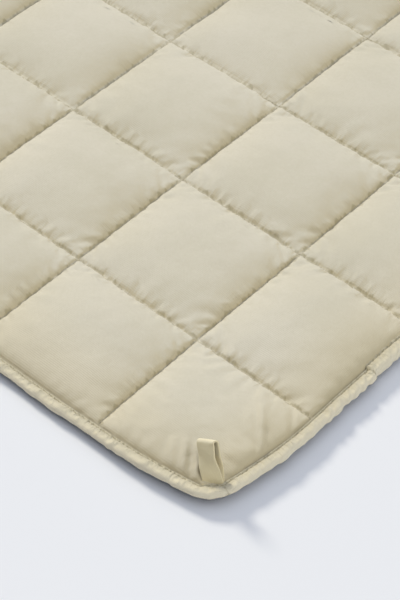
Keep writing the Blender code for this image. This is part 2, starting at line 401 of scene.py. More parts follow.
def squares(block_size):
    """Every square as (first step across, first step along, size)."""
    found = []
    for a in range(0, WIDE, BLOCK):
        for b in range(0, LONG, BLOCK):
            size = block_size(a, b)
            across, along = range(a, a + BLOCK, size), range(b, b + BLOCK, size)
            found += [(u, v, size) for u in across for v in along]
    return found


def top_block(a, b):
    """The size of the upper cloth's squares in one block of the grid."""
    seam_size, middle_size = cell_detail(a // UNITS, b // UNITS)
    by_seam = any(place % UNITS in (0, UNITS - BLOCK) for place in (a, b))
    return seam_size if by_seam else middle_size


def used_points(found):
    """Which points of the grid are corners of squares."""
    used = np.zeros((WIDE + 1, LONG + 1), bool)
    for u, v, size in found:
        used[u : u + size + 1 : size, v : v + size + 1 : size] = True
    return used


def outline(u, v, size, used):
    """The used grid points round a square, anticlockwise."""
    loop = [(u + k, v) for k in range(size) if used[u + k, v]]
    loop += [(u + size, v + k) for k in range(size) if used[u + size, v + k]]
    loop += [(u + size - k, v + size) for k in range(size) if used[u + size - k, v + size]]
    loop += [(u, v + size - k) for k in range(size) if used[u, v + size - k]]
    return loop


top_squares, under_squares = squares(top_block), squares(lambda a, b: BLOCK)
print(len(top_squares), "squares above and", len(under_squares), "below")

# %% [markdown]
# ## The upper cloth
#
# Each grid point takes its cell's pattern, then the whole is put through the drawn-in outline.
# The filling lies unevenly, so cells differ in height, and a few long soft folds run
# where the corner of the blanket has been handled. Each fold is a ridge or a valley with a
# length, a width and a height. The stiff sewn edge doesn't lie quite flat either: its corners
# stand a little off the floor and its sides press down.

# %% Raise the upper cloth
SEAM_WANDER = 0.0004  # how far a seam strays from its straight line
STREAKS = [  # gathers beside the thread: spacing, drawn out across the seam, height, reach, seed
    (0.0036, 0.22, 0.0013, 0.0030, 62),
    (0.0075, 0.15, 0.0014, 0.0075, 63),
]
BY_THREAD = 0.0010  # the thread holds the cloth down this far
ROW_APART, SIDE_APART = 1.37, 0.5  # each side of each seam has gathers of its own
PATCHY = 0.45  # how much the gathers vary from patch to patch
NEAR_BINDING = 0.4  # of a cell
BINDING_CALM, CALM_REACH = 0.4, 0.035  # the share of the gathers that is left at the binding
EDGE_DROP, CORNER_LIFT = 0.0012, 0.0028  # the sides lie lower, and the corners stand up from them
LIFT_ACROSS, LIFT_ALONG = 0.15, 0.26  # how far from its corner the lift reaches along each side
EDGE_UNEVEN, TOP_UNEVEN, SEAM_UNEVEN = 0.0003, 0.0005, 0.0003
EDGE_DIP, EDGE_DIP_REACH = 0.0007, 0.0040  # the binding pulls the cloth down beside it
LOOSE_FROM = 0.35 * CROWN  # cloth is loose enough to fold when it stands this high over its seam
FOLDS = [  # start, end, half width and height of a soft fold, in millimetres
    ((564, -816), (595, -851), 1.6, 1.6),
    ((554, -804), (577, -829), 4.5, 1.0),
    ((577, -801), (590, -818), 2.0, -1.0),
    ((549, -866), (566, -889), 1.9, 2.1),
    ((556, -863), (575, -887), 1.8, 2.2),
    ((541, -869), (557, -889), 2.4, 1.2),
    ((570, -857), (583, -845), 5.0, 1.6),
]


def grid_places(u, v):
    """Flat places, from cells to metres. The edge cells are narrower."""
    x, y = u * PITCH - LAST_SEAM_X - PITCH, v * PITCH - LAST_SEAM_Y - PITCH
    over_x, over_y = np.abs(x) - LAST_SEAM_X, np.abs(y) - LAST_SEAM_Y
    x = np.where(over_x > 0, np.copysign(LAST_SEAM_X + over_x * EDGE_CELL / PITCH, x), x)
    y = np.where(over_y > 0, np.copysign(LAST_SEAM_Y + over_y * EDGE_CELL / PITCH, y), y)
    return x, y


def fold_height(x, y):
    """The height of the soft folds, in metres."""
    height = np.zeros_like(x)
    for (x0, y0), (x1, y1), width, rise in FOLDS:
        along_x, along_y = (x1 - x0) * MM, (y1 - y0) * MM
        length = math.hypot(along_x, along_y)
        from_x, from_y = x - x0 * MM, y - y0 * MM
        share = (from_x * along_x + from_y * along_y) / length**2
        across = (from_x * along_y - from_y * along_x) / length
        fade = np.clip(share, 0, 1) * np.clip(1 - share, 0, 1) * 4
        height += rise * MM * np.exp(-((across / (width * MM)) ** 2)) * np.sqrt(fade)
    return height


def short_puckers(x, y):
    """The finest gathers, right beside the thread: streaks across each seam that soon fade."""
    height = np.zeros_like(x)
    for across, along, cells in ((x, y, CELLS_X), (y, x, CELLS_Y)):
        places = across / PITCH + cells / 2
        seam = np.round(places)
        away = np.abs(places - seam) * PITCH
        row = seam * ROW_APART + np.where(places > seam, SIDE_APART, 0.0)
        strength = 1 - PATCHY + PATCHY * random_surface(along, row * 0.02, spacing=0.018, seed=61)
        gathers = sum(
            rise * random_surface(along, away * stretch + row, spacing, seed) * np.exp(-away / reach)
            for spacing, stretch, rise, reach, seed in STREAKS
        )
        by_binding = np.where(np.abs(places - cells / 2) > cells / 2 - NEAR_BINDING, BINDING_CALM, 1)
        height += (1 - np.exp(-away / BY_THREAD)) * strength * gathers * by_binding
    return height


def wander(x, y):
    """A slight stray of the seams, none at the edge."""
    edge = np.minimum(MOUTH_X - np.abs(x), MOUTH_Y - np.abs(y))
    fade = np.clip(edge / PITCH, 0, 1) * SEAM_WANDER
    return tuple(random_surface(x, y, spacing=0.045, seed=seed) * fade for seed in (21, 22))


def seam_wave(x, y):
    """Seams rise and dip a little as the cloth gathers along them, but not inside the binding."""
    edge = np.minimum(MOUTH_X - np.abs(x), MOUTH_Y - np.abs(y))
    return SEAM_UNEVEN * np.clip(edge / 0.01, 0, 1) * random_surface(x, y, spacing=0.008, seed=33)


def edge_lift(x, y):
    """How far a side of the blanket has curled up from the floor, at its finished edge."""
    from_end = (CELLS_X * PITCH / 2 - np.abs(x)) / LIFT_ACROSS
    from_side = (CELLS_Y * PITCH / 2 - np.abs(y)) / LIFT_ALONG
    corner = ease(np.clip(1 - np.hypot(from_end, from_side), 0, 1))
    return CORNER_LIFT * corner - EDGE_DROP + EDGE_UNEVEN * random_surface(x, y, spacing=0.11, seed=31)


def curled(x, y, reach=0.028):
    """The lift of any point, which fades inwards from the finished edge."""
    to_edge = np.minimum(MOUTH_X - np.abs(x), MOUTH_Y - np.abs(y)) + BORDER
    return edge_lift(x, y) * ease(np.clip(1 - to_edge / (reach + BORDER), 0, 1))


choice = np.random.default_rng(11).integers(0, len(patterns), (CELLS_X, CELLS_Y))
fullness = 1 + 0.08 * np.random.default_rng(12).uniform(-1, 1, (CELLS_X, CELLS_Y))


def upper_cloth(u, v):
    """World places of the upper cloth's grid points."""
    i, j = np.minimum(u // UNITS, CELLS_X - 1), np.minimum(v // UNITS, CELLS_Y - 1)
    moved = patterns[choice[i, j], u - i * UNITS, v - j * UNITS]
    settled_height = profile[u - i * UNITS, v - j * UNITS]
    x, y = grid_places(grid_share(u) + moved[:, 0], grid_share(v) + moved[:, 1])
    x, y = np.clip(x, -MOUTH_X, MOUTH_X), np.clip(y, -MOUTH_Y, MOUTH_Y)
    stray_x, stray_y = wander(x, y)
    short = short_puckers(x, y)
    to_edge = np.minimum(MOUTH_X - np.abs(x), MOUTH_Y - np.abs(y))
    edge_dip = EDGE_DIP * np.exp(-to_edge / EDGE_DIP_REACH)
    x, y = laid(x + stray_x, y + stray_y)
    calm_by_edge = BINDING_CALM + (1 - BINDING_CALM) * ease(np.clip(to_edge / CALM_REACH, 0, 1))
    gathers = (moved[:, 2] - settled_height) * calm_by_edge
    rise = (settled_height + gathers) * PITCH * fullness[i, j] + short
    loose = np.clip(settled_height * PITCH / LOOSE_FROM, 0, 1)
    swells = fold_height(x, y) + TOP_UNEVEN * random_surface(x, y, spacing=0.030, seed=5)
    z = SEAM_TOP + rise + loose * swells + seam_wave(x, y) + curled(x, y) - edge_dip
    return np.stack([x, y, z], -1)


UNDER_SWELL = 0.2  # how far from its seams the lower cloth meets the floor, as a share of a cell


def under_cloth(u, v):
    """World places of the lower cloth's grid points: flat on the floor between the seams."""
    x, y = laid(*grid_places(grid_share(u), grid_share(v)))
    across, along = grid_share(u) % 1, grid_share(v) % 1
    swell = np.clip(np.minimum(across, 1 - across) / UNDER_SWELL, 0, 1)
    swell = swell * np.clip(np.minimum(along, 1 - along) / UNDER_SWELL, 0, 1)
    z = SEAM_UNDER * (1 - ease(swell)) + curled(x, y)
    return np.stack([x, y, np.maximum(z, 0)], -1)


# %% [markdown]
# ## One closed body
#
# The upper and lower cloth are joined along the edge by a thin rim that reaches into the
# binding, as the real seam allowance does. The result is one closed body. Two things are kept
# at each point for the material to read: where the point lay on the flat cloth, and how far
# it is from the seams.

# %% Build the quilted body
def rim_out(points, distance, heights):
    """Points of a closed line moved outwards."""
    before, after = np.roll(points, 1, 0), np.roll(points, -1, 0)
    way = (after - before)[:, :2]
    way /= np.linalg.norm(way, axis=1)[:, None]
    out = np.stack([way[:, 1], -way[:, 0]], 1)
    return np.column_stack([points[:, :2] + out * distance, np.full(len(points), heights)])


def perimeter(used):
    """The used grid points round the whole blanket, anticlockwise."""
    loop = [(u, 0) for u in range(WIDE) if used[u, 0]]
    loop += [(WIDE, v) for v in range(LONG) if used[WIDE, v]]
    loop += [(u, LONG) for u in range(WIDE, 0, -1) if used[u, LONG]]
    loop += [(0, v) for v in range(LONG, 0, -1) if used[0, v]]
    return loop


EDGE_SEAM_OUT = 0.006  # the edge counts as a seam that lies this far outside the mouth


def seam_distances(x, y):
    """How far flat places are from the nearest seam across, the nearest along, and the edge."""
    found, edge = [], np.minimum(MOUTH_X - np.abs(x), MOUTH_Y - np.abs(y))
    for places, cells, mouth in ((x, CELLS_X, MOUTH_X), (y, CELLS_Y, MOUTH_Y)):
        seam = np.clip(np.round(places / PITCH), 1 - cells / 2, cells / 2 - 1) * PITCH
        found.append(np.minimum(np.abs(places - seam), mouth - np.abs(places) + EDGE_SEAM_OUT))
    return np.stack([*found, edge], -1)


def build_quilt():
    """The whole quilted body as one piece."""
    points, faces, numbers, flat = [], [], {}, []
    start = 0
    for side, found, cloth in ((0, top_squares, upper_cloth), (1, under_squares, under_cloth)):
        used = used_points(found)
        u, v = np.nonzero(used)
        points.append(cloth(u, v))
        flat.append(np.stack(grid_places(grid_share(u), grid_share(v)), 1))
        grid_points = enumerate(zip(u.tolist(), v.tolist()), start)
        numbers.update({(side, a, b): k for k, (a, b) in grid_points})
        start += len(u)
        for a, b, size in found:
            loop = [numbers[side, p, q] for p, q in outline(a, b, size, used)]
            faces.append(loop if side == 0 else loop[::-1])
        rim = perimeter(used)
        numbers[side, "edge"] = [numbers[side, p, q] for p, q in rim]
        flat.append(np.concatenate(flat)[numbers[side, "edge"]])
        edge = np.concatenate(points)[numbers[side, "edge"]]
        rim_edge = rim_out(edge, RIM_REACH, SEAM_TOP if side == 0 else SEAM_UNDER)
        rim_edge[:, 2] += edge_lift(rim_edge[:, 0], rim_edge[:, 1])
        points.append(rim_edge)
        numbers[side, "rim"] = list(range(start, start + len(rim)))
        numbers[side, "grid"] = rim
        start += len(rim)
        edge_ids, rim_ids = numbers[side, "edge"], numbers[side, "rim"]
        for k in range(len(rim)):
            n = (k + 1) % len(rim)
            quad = [edge_ids[k], rim_ids[k], rim_ids[n], edge_ids[n]]
            faces.append(quad if side == 0 else quad[::-1])
    upper, lower = numbers[0, "rim"], numbers[1, "rim"]
    upper_grid = numbers[0, "grid"] + [numbers[0, "grid"][0]]
    upper = upper + [upper[0]]
    place = 0
    for k in range(len(lower)):
        n = (k + 1) % len(lower)
        stop = place + 1
        while upper_grid[stop] != numbers[1, "grid"][n]:
            stop += 1
        faces.append([lower[k], lower[n], *reversed(upper[place : stop + 1])])
        place = stop
    made = make_piece("quilted_body", np.concatenate(points), faces)
    x, y = np.concatenate(flat).T
    keep_vectors(made, "flat", np.stack([x, y, np.zeros_like(x)], 1))
    keep_vectors(made, "to seam", seam_distances(x, y))
    return made


quilt = build_quilt()

# %% [markdown]
# ## The line that the binding follows
#
# The binding is a strip of the same cotton, folded over the rim and sewn through. Its path is the
# edge of the cloth, cut into even steps so that its gathers are the same size on the straight
# sides and round the corners.

# %% The binding's path
flat_mouth = np.concatenate([
    np.stack([np.linspace(-MOUTH_X, MOUTH_X, 3000, False), np.full(3000, -MOUTH_Y)], 1),
    np.stack([np.full(4500, MOUTH_X), np.linspace(-MOUTH_Y, MOUTH_Y, 4500, False)], 1),
    np.stack([np.linspace(MOUTH_X, -MOUTH_X, 3000, False), np.full(3000, MOUTH_Y)], 1),
    np.stack([np.full(4500, -MOUTH_X), np.linspace(MOUTH_Y, -MOUTH_Y, 4500, False)], 1),
])
mouth = np.stack(laid(flat_mouth[:, 0], flat_mouth[:, 1]), 1)
pieces_long = np.linalg.norm(np.roll(mouth, -1, 0) - mouth, axis=1)
mouth_at = np.concatenate([[0], np.cumsum(pieces_long)])
MOUTH_LENGTH = mouth_at[-1]
mouth = np.vstack([mouth, mouth[:1]])


def on_mouth(places):
    """Places along the mouth as points and as the directions that lead outwards."""
    def point(at):
        return np.stack([np.interp(at % MOUTH_LENGTH, mouth_at, mouth[:, k]) for k in (0, 1)], -1)

    here, way = point(places), point(places + 0.002) - point(places - 0.002)
    way /= np.linalg.norm(way, axis=-1)[..., None]
    return here, np.stack([way[..., 1], -way[..., 0]], -1)


def place_near(x, y):
    """The place along the mouth that is nearest to a point, given in millimetres."""
    return mouth_at[np.argmin(np.hypot(mouth[:-1, 0] - x * MM, mouth[:-1, 1] - y * MM))]


print(f"the binding is {MOUTH_LENGTH:.2f} m long")

# %% [markdown]
# ## The binding
#
# A binding's section is a flattened C: a thin inner lip, a groove where the thread pulls it down,
# and a plump roll over the edge. The strip is cut on the straight grain, so the sewing gathers it
# into small slanting puckers. It is built directly, because a simulation would need cloth a
# fraction of a millimetre fine along six metres. One function says where a point of the section
# lies at a place along the edge, with all that makes a sewn strip uneven: gathers as close as
# the stitches and finer, a roll that varies in width, a pleat where it turns the corner, and
# the end that laps over the beginning.

# %% Build the binding
SECTION = np.array([  # millimetres outwards from the mouth and up from the seam's middle
    (0.5, 1.4), (0.5, 1.8), (0.8, 2.1), (1.3, 1.95), (1.8, 1.3), (2.3, 1.95), (3.3, 2.8),
    (4.9, 3.25), (6.7, 3.2), (8.5, 2.6), (9.7, 1.3), (10.1, -0.2), (9.6, -1.2), (8.2, -2.1),
    (5.8, -2.5), (3.2, -2.1), (1.9, -1.6), (1.3, -2.0), (0.6, -1.9), (0.5, -1.4),
    (8.2, -1.4), (8.2, 1.4),
])
# How much of the gathers each point of the section takes
GATHERED = np.array([
    0, 0, 0.2, 0.3, 0.2, 0.7, 1, 1, 1, 0.9, 0.8, 0.8, 0.7, 0.6, 0.4, 0.2, 0, 0, 0, 0, 0, 0,
])
STITCH, THREAD_AT = 0.0033, 0.0018
SLANT = 0.8  # how far the gathers lean along the edge for each unit outwards
SLANT_STRAY = 0.0012
# How high the gathers are in millimetres: one to a stitch, and finer and broader ones between
BY_STITCH, FINE, FINEST, BROAD = 0.55, 0.60, 0.40, 0.25
# The strip's width as a share of its section, and what it loses by short sides, turns and lap
FULL_WIDTH, SHORT_LESS, TURN_LESS, LAP_LESS = 0.90, 0.12, 0.4, 0.08
OUTLINE_UNEVEN, SHORT_EVENER = 0.40, 0.25  # how far its outline strays, and less on short sides
UNEQUAL = 0.4  # how much the gathers at the stitches differ
PLUMP = 0.06  # how much the roll varies in width, as a share of its section
STITCH_FADE, ROUND_FROM = 0.0035, 0.004  # where the gathers have faded and the roll is full
TURN_IN = 8.0  # millimetres that the lip is drawn in where the strip turns
PLEAT_DEPTH, PLEAT_WIDTH = 0.0006, 0.0010
LAP_THICKNESS, LAP_SHIFT = 0.0008, 0.0018
# The lap is at its full thickness this soon after the cut, ends here, and fades over this length
LAP_CUT, LAP_LENGTH, LAP_FADE = 0.0008, 0.065, 0.04
LAP_WAIST, LAP_WAIST_REACH = 0.03, 0.035  # how far before the lap the strip is narrowest
OUTER_UP, OUTER_FAR = 0.00145, 0.0092  # the lap shows on the faces beyond these
LAP_LIP_IN, LAP_ROLL_OUT = 0.0009, 0.0005  # how far the thicker fold reaches in and out
LAP_AT = place_near(591, -747)
PLEAT_AT = place_near(585, -874)


def random_line(places, spacing, seed):
    """From -1 to 1 along the mouth, turning about once in each spacing and joining up."""
    knots = max(4, round(MOUTH_LENGTH / spacing))
    values = np.random.default_rng(seed).uniform(-1, 1, knots)
    where = np.asarray(places) / MOUTH_LENGTH * knots
    first = np.floor(where).astype(int)
    share = ease(where - first)
    return values[first % knots] * (1 - share) + values[(first + 1) % knots] * share


def past_lap(places):
    """1 where the binding's end lies over its beginning, sharply at its cut and then fading."""
    past = (places - LAP_AT) % MOUTH_LENGTH
    return np.clip(past / LAP_CUT, 0, 1) * np.clip((LAP_LENGTH - past) / LAP_FADE, 0, 1)


def beside(places, spot):
    """The signed distance of places along the mouth from a spot on it."""
    return (places + MOUTH_LENGTH / 2 - spot) % MOUTH_LENGTH - MOUTH_LENGTH / 2


def bound(places, section_points, gathered):
    """World places for section points (millimetres) at each place along the mouth."""
    here, out = on_mouth(places)
    far, up = section_points[:, 0] * MM, section_points[:, 1] * MM
    at = places[:, None]
    from_thread = np.clip(far - THREAD_AT, 0, 1)[None, :]
    slanted = at + from_thread * SLANT + SLANT_STRAY * random_line(at, spacing=0.02, seed=40)
    by_stitch = np.cos(math.tau * slanted / STITCH) * np.exp(-from_thread / STITCH_FADE)
    by_stitch = by_stitch * (1 - UNEQUAL + UNEQUAL * random_line(at, spacing=0.011, seed=45))
    fine = random_line(slanted, spacing=0.0038, seed=42)
    broad = random_line(slanted, spacing=0.0085, seed=43)
    plump = random_line(at, spacing=0.030, seed=41)
    bulge = random_line(at, spacing=0.0080, seed=44)
    finest = random_line(slanted, spacing=0.0022, seed=46)
    roundness = np.clip(from_thread / ROUND_FROM, 0, 1)
    relief = BY_STITCH * by_stitch + FINE * fine + FINEST * finest + BROAD * broad
    pleat = PLEAT_DEPTH * np.exp(-((beside(at, PLEAT_AT) / PLEAT_WIDTH) ** 2)) * gathered
    side = np.sign(up)[None, :]
    height = up[None, :] + (relief * MM * gathered - pleat) * side

    along_short, turning = out[:, None, 1] ** 2, (out[:, None, 0] * out[:, None, 1]) ** 2
    before_lap = np.exp(-(((beside(at, LAP_AT) + LAP_WAIST) / LAP_WAIST_REACH) ** 2))
    width = FULL_WIDTH - SHORT_LESS * along_short - TURN_LESS * turning - LAP_LESS * before_lap
    width = width + PLUMP * plump * roundness
    uneven = OUTLINE_UNEVEN - SHORT_EVENER * along_short
    distance = far[None, :] * width + uneven * (bulge + fine) * MM * roundness
    distance = distance - TURN_IN * MM * turning * (1 - roundness)

    # The lap: a thicker fold, whose lip lies further in
    lap = past_lap(places)[:, None]
    over = lap * ((np.abs(up) > OUTER_UP) | (far > OUTER_FAR))[None, :]
    height = height + over * LAP_THICKNESS * side
    distance = distance - over * LAP_LIP_IN * np.clip(1 - far / ROUND_FROM, 0, 1)[None, :]
    distance = distance + over * LAP_ROLL_OUT * roundness - lap * LAP_SHIFT
    x = here[:, None, 0] + out[:, None, 0] * distance
    y = here[:, None, 1] + out[:, None, 1] * distance
    return np.stack([x, y, SEAM_MIDDLE + height + curled(x, y)], -1)


def ring_faces(rings, around):
    """Quads between closed sections that follow each other in a closed ring."""
    index = np.arange(rings * around).reshape(rings, around)
    ahead, following = np.roll(index, -1, 0), np.roll(index, -1, 1)
    corner = np.roll(ahead, -1, 1)
    return np.stack([index, ahead, corner, following], -1).reshape(-1, 4).tolist()


FINE_STEP, COARSE_STEP, FINE_REACH = 0.0007, 0.0024, 0.42
CORNER_AT = place_near(600, -900)
start, stop = CORNER_AT - FINE_REACH, CORNER_AT + FINE_REACH
ring_places = np.concatenate([
    np.arange(start, stop, FINE_STEP),
    np.arange(stop, start + MOUTH_LENGTH - COARSE_STEP / 2, COARSE_STEP),
])
binding_points = bound(ring_places, SECTION, GATHERED)
binding = make_piece("bound_edge", binding_points, ring_faces(len(ring_places), len(SECTION)))
far = np.broadcast_to(SECTION[:, 0] * MM, (len(ring_places), len(SECTION))).ravel()
along = np.repeat(ring_places, len(SECTION))
# The lap and the pleat count as creases, where the material paints shade
to_fold = np.minimum(np.abs(beside(along, LAP_AT)), np.abs(beside(along, PLEAT_AT)))
zero = np.zeros_like(far)
keep_vectors(binding, "flat", np.stack([far, along, zero], 1))
keep_vectors(binding, "to seam", np.stack([np.abs(far - THREAD_AT), to_fold, zero + 1], 1))

# %% [markdown]
# ## Thread
#
# Lockstitch shows as a row of short dashes, each sunk a little in the cloth. At 3.3 mm to a stitch,
# this blanket has over ten thousand. Each one is eight triangles, a bead of thread pointed at
# both ends, and a whole row is one piece.

# %% Stitches
STITCH_LENGTH, STITCH_WIDTH, STITCH_HEIGHT = 0.0024, 0.00075, 0.0005


def stitch_row(starts, ends, up=1):
    """Points and faces for stitches that run from starts to ends."""
    starts, ends = np.asarray(starts), np.asarray(ends)
    middle, way = (starts + ends) / 2, ends - starts
    way = way / np.linalg.norm(way, axis=1)[:, None]
    side = np.stack([way[:, 1], -way[:, 0], np.zeros(len(way))], 1) * STITCH_WIDTH / 2
    rise = np.array([0, 0, STITCH_HEIGHT / 2 * up])
    points = np.stack([starts, ends, middle + side, middle + rise, middle - side, middle - rise], 1)
    ring = [2, 3, 4, 5]
    faces = []
    for k in range(4):
        a, b = ring[k], ring[(k + 1) % 4]
        faces += [(0, a, b), (1, b, a)]
    base = np.arange(len(points))[:, None, None] * 6
    return points.reshape(-1, 3), (np.array(faces)[None] + base).reshape(-1, 3)


def seam_stitches(height, up):
    """All the quilting stitches on one face."""
    starts, ends = [], []
    half = STITCH_LENGTH / 2
    for count, reach, across in ((CELLS_X, MOUTH_Y, True), (CELLS_Y, MOUTH_X, False)):
        run = np.arange(-reach + STITCH, reach - STITCH / 2, STITCH)
        for n in range(1, count):
            seam = np.full(len(run), (n - count / 2) * PITCH)
            for shift, store in ((-half, starts), (half, ends)):
                x, y = (seam, run + shift) if across else (run + shift, seam)
                stray_x, stray_y = wander(x, y)
                x, y = laid(x + stray_x, y + stray_y)
                store.append(np.stack([x, y, height + seam_wave(x, y) * (up > 0) + curled(x, y)], 1))
    return stitch_row(np.concatenate(starts), np.concatenate(ends), up)


points, faces = seam_stitches(SEAM_TOP + 0.0001, 1)
top_thread = make_piece("quilting_thread_top", points, faces.tolist())
points, faces = seam_stitches(SEAM_UNDER - 0.0001, -1)
under_thread = make_piece("quilting_thread_under", points, faces.tolist())

# %% Binding stitches
stitch_places = np.arange(STITCH / 2, MOUTH_LENGTH, STITCH)
groove = np.array([(1.8, 1.45), (1.9, -1.75)])
first = bound(stitch_places - STITCH_LENGTH / 2, groove, np.zeros(2))
last = bound(stitch_places + STITCH_LENGTH / 2, groove, np.zeros(2))
points, faces = stitch_row(
    np.concatenate([first[:, 0], first[:, 1]]), np.concatenate([last[:, 0], last[:, 1]])
)
binding_thread = make_piece("binding_thread", points, faces.tolist())

# %% [markdown]
# ## The corner loops
#
# A loop is a short piece of woven tape, folded double and caught in the binding's seam. It stands
# up, leans inwards and is a little turned, and its back ply has slipped to one side. It is
# built directly, from a line up one ply, over the fold and down the other, with the tape's
# real thickness and edges that are a little rounded.

# %% Build a loop
LOOP_LENGTH, LOOP_WIDTH, LOOP_CLOTH = 0.0260, 0.0118, 0.0011
LOOP_OPEN, LOOP_FOLD = 0.0023, 0.0020
LOOP_SWELL, LOOP_TAPER, TURNED_BY = 0.85, 0.80, 0.625
LOOP_SLIP = 0.0012  # how far the back ply lies to one side of the front one
LOOP_LEAN = Vector((-0.46, 0.27, 0.85)).normalized()
LOOP_FOOT_SIDE = Vector((0.76, 0.65, 0)).normalized()
LOOP_TOP_SIDE = Vector((0.89, 0.14, 0.40)).normalized()
LOOP_FOOT = Vector((corner_x - 0.0015, corner_y + 0.0030, SEAM_TOP + 0.0012))
LOOP_ACROSS = 12  # faces across the tape
TAPE_WAVE, TAPE_TURNS = 0.00025, 420  # the tape's slight wave, and its radians to a metre
EDGE_ROUND = 0.12  # how far the tape's faces come together at its edges, as a share of its thickness


def ply_spread(share):
    """Half the clear space between the plies, at a share of the way up."""
    fold = (LOOP_FOLD - LOOP_CLOTH) * share
    return fold + (LOOP_OPEN - fold) / 2 * math.sin(math.pi * share**LOOP_SWELL) ** LOOP_TAPER


def loop_line(thickness):
    """One face of the tape as (along, across), up one ply and down the other."""
    ply = LOOP_LENGTH - LOOP_FOLD
    up = [(-0.004, thickness)]
    up += [(ply * k / 24, ply_spread(k / 24) + thickness) for k in range(25)]
    radius = ply_spread(1) + thickness
    turns = [math.radians(a) for a in range(75, -76, -15)]
    fold = [(ply + radius * math.cos(a), radius * math.sin(a)) for a in turns]
    return up + fold + [(a, -b) for a, b in reversed(up)]


def tape_point(along, across, end, flip_x, flip_y):
    """A point of the tape, from its place on the line and from -1 to 1 across its width."""
    share = min(1, max(0, along / LOOP_LENGTH / TURNED_BY))
    side = LOOP_FOOT_SIDE.lerp(LOOP_TOP_SIDE, share)
    side = (side - LOOP_LEAN * side.dot(LOOP_LEAN) * share).normalized()
    out = side.cross(LOOP_LEAN).normalized()
    foot = Vector((0, 0, LOOP_CLOTH * abs(out.z)))
    wave = TAPE_WAVE * math.sin(along * TAPE_TURNS + end * 2.0)
    p = LOOP_FOOT + foot + LOOP_LEAN * along + out * (across + wave) + side * end * LOOP_WIDTH / 2
    p += side * LOOP_SLIP * ease(min(1, max(0, 0.5 - across / LOOP_FOLD / 1.5)))
    return (p.x * flip_x, p.y * flip_y, p.z)


def build_loop(name, flip_x, flip_y):
    """One loop. The flips mirror it to its corner."""
    ends = [math.sin(math.pi / 2 * e) for e in np.linspace(-1, 1, LOOP_ACROSS + 1)]
    points = []
    for outer, inner in zip(np.array(loop_line(LOOP_CLOTH)), np.array(loop_line(0.0))):
        for first, second, order in ((outer, inner, ends), (inner, outer, ends[::-1])):
            for end in order:
                a, b = first + (second - first) * EDGE_ROUND * (abs(end) > 0.98)
                points.append(tape_point(a, b, end, flip_x, flip_y))
    around = 2 * len(ends)
    index = np.arange(len(points)).reshape(-1, around)
    ahead = np.roll(index, -1, 1)
    faces = np.stack([index[:-1], ahead[:-1], ahead[1:], index[1:]], -1).reshape(-1, 4).tolist()
    return make_piece(name, points, faces + [index[0].tolist(), index[-1].tolist()])


loops = [
    build_loop(f"tape_loop_{number}", *flips)
    for number, flips in enumerate([(1, 1), (-1, 1), (-1, -1), (1, -1)], start=1)
]

# %% [markdown]
# ## Colours and a way to add nodes
#
# Colours are written as the sRGB hex values that a paint or fabric chart gives. Blender's shaders
# work in linear light, so one function converts them. A second adds a node. Whatever it is given
# is a setting of the node, a value for one of its sockets, or another node's output to link.

# %% Helpers for materials
def linear(hex_colour):
    """An sRGB hex colour as the linear light that shaders take."""
    channels = [int(hex_colour[k : k + 2], 16) / 255 for k in (1, 3, 5)]
    return (*[c / 12.92 if c <= 0.04045 else ((c + 0.055) / 1.055) ** 2.4 for c in channels], 1)


def add_node(owner, kind, given=(), output=0):
    """Adds a node to a material or world, and returns the output that is asked for."""
    tree = owner.node_tree
    node = tree.nodes.new("ShaderNode" + kind)
    for key, value in dict(given).items():
        if isinstance(value, bpy.types.NodeSocket):
            tree.links.new(value, node.inputs[key])
        elif isinstance(key, str) and hasattr(node, key):
            setattr(node, key, value)
        else:
            node.inputs[key].default_value = linear(value) if isinstance(value, str) else value
    return node.outputs[output] if node.outputs else None


def new_material(name):
    material = bpy.data.materials.new(name)
    material.use_nodes = True
    material.node_tree.nodes.clear()
    return material


# Settings for a Map Range that rises smoothly from 0 to 1, and for one that falls from 1 to 0
RISE = {"interpolation_type": "SMOOTHSTEP"}
FALL = {"interpolation_type": "SMOOTHSTEP", "To Min": 1.0, "To Max": 0.0}
# A Mix node has sockets for each kind of data. These are its colour ones
FIRST, SECOND, MIXED = 6, 7, 2

# %% [markdown]
# ## The fine detail beside a seam
#
# Beside a sewn line there is finer detail than the mesh can hold: puckers that cross the
# line, and the ragged crease at the thread, where shade is painted dark into the colour. The
# same painted shade lies in patches in the crease beside the binding. The pieces carry their
# flat places and their distances to the seams, and the material draws that detail from them.
# A noise that is drawn out across the seam makes the puckers, and each cell is given its own
# part of it, so that no pucker runs on through the thread.

# %% Puckers and creases
DRAWN_OUT = 0.22  # a pucker is this much as wide as it is long
BINDING_SHADE_REACH, BINDING_SHADE_SHARE = 0.009, 0.4  # reach and share of the painted shade in the crease at the binding
BINDING_SHADE_PATCH = 1 / 55  # the painted shade at the binding comes and goes in patches of this size
